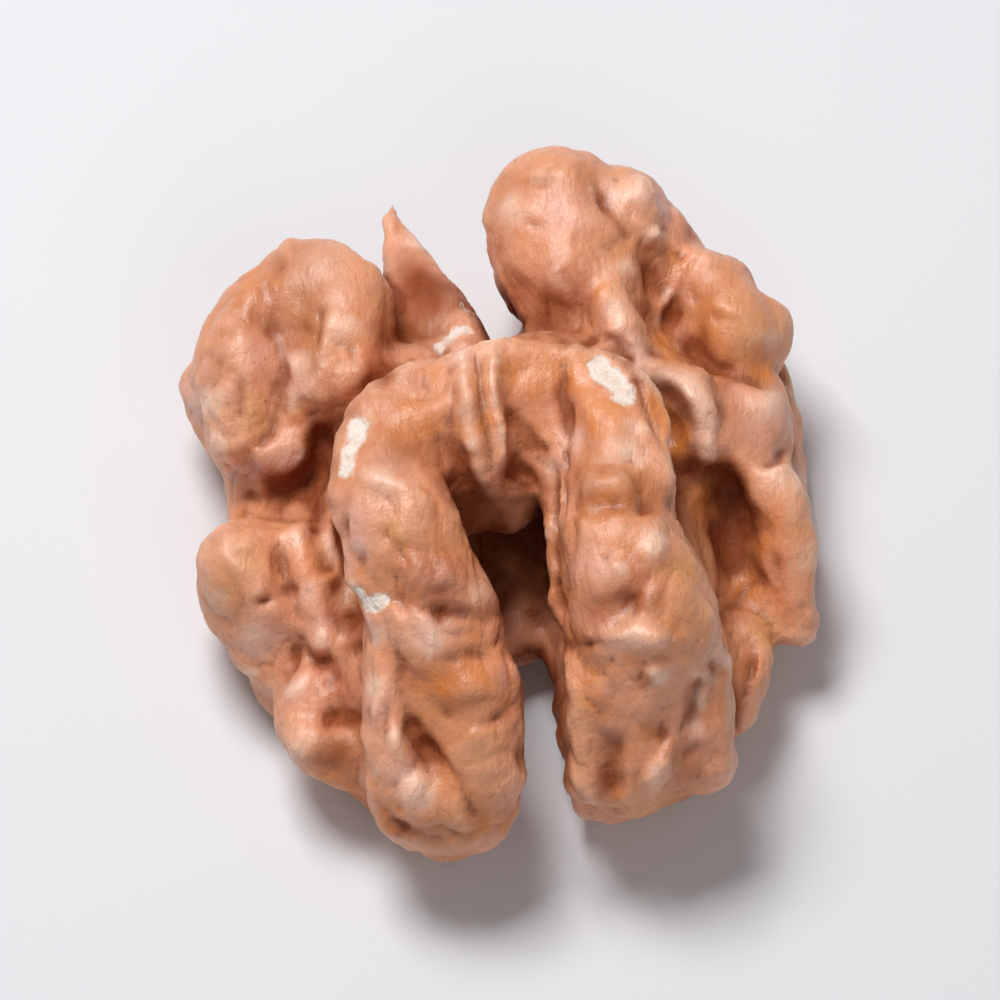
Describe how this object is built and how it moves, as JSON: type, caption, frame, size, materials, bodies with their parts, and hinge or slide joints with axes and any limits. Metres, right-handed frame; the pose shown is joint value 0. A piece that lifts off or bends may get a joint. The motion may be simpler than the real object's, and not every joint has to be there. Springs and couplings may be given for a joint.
{
  "type": "walnut kernel",
  "caption": "Half of a shelled walnut kernel: two brain-like folded lobes joined by a bridge, with a germ point at one end, lying on its inner face.",
  "frame": {"origin": "middle of the footprint, on the surface that the kernel lies on", "axes": "+X across the two lobes, +Y from the blunt base to the germ end, +Z from the inner face to the crown"},
  "size_m": [0.0294, 0.0336, 0.0145],
  "materials": {
    "kernel": "waxy brown seed skin with a soft sheen"
  },
  "bodies": {
    "root": {"kernel": "kernel"}
  },
  "joints": []
}
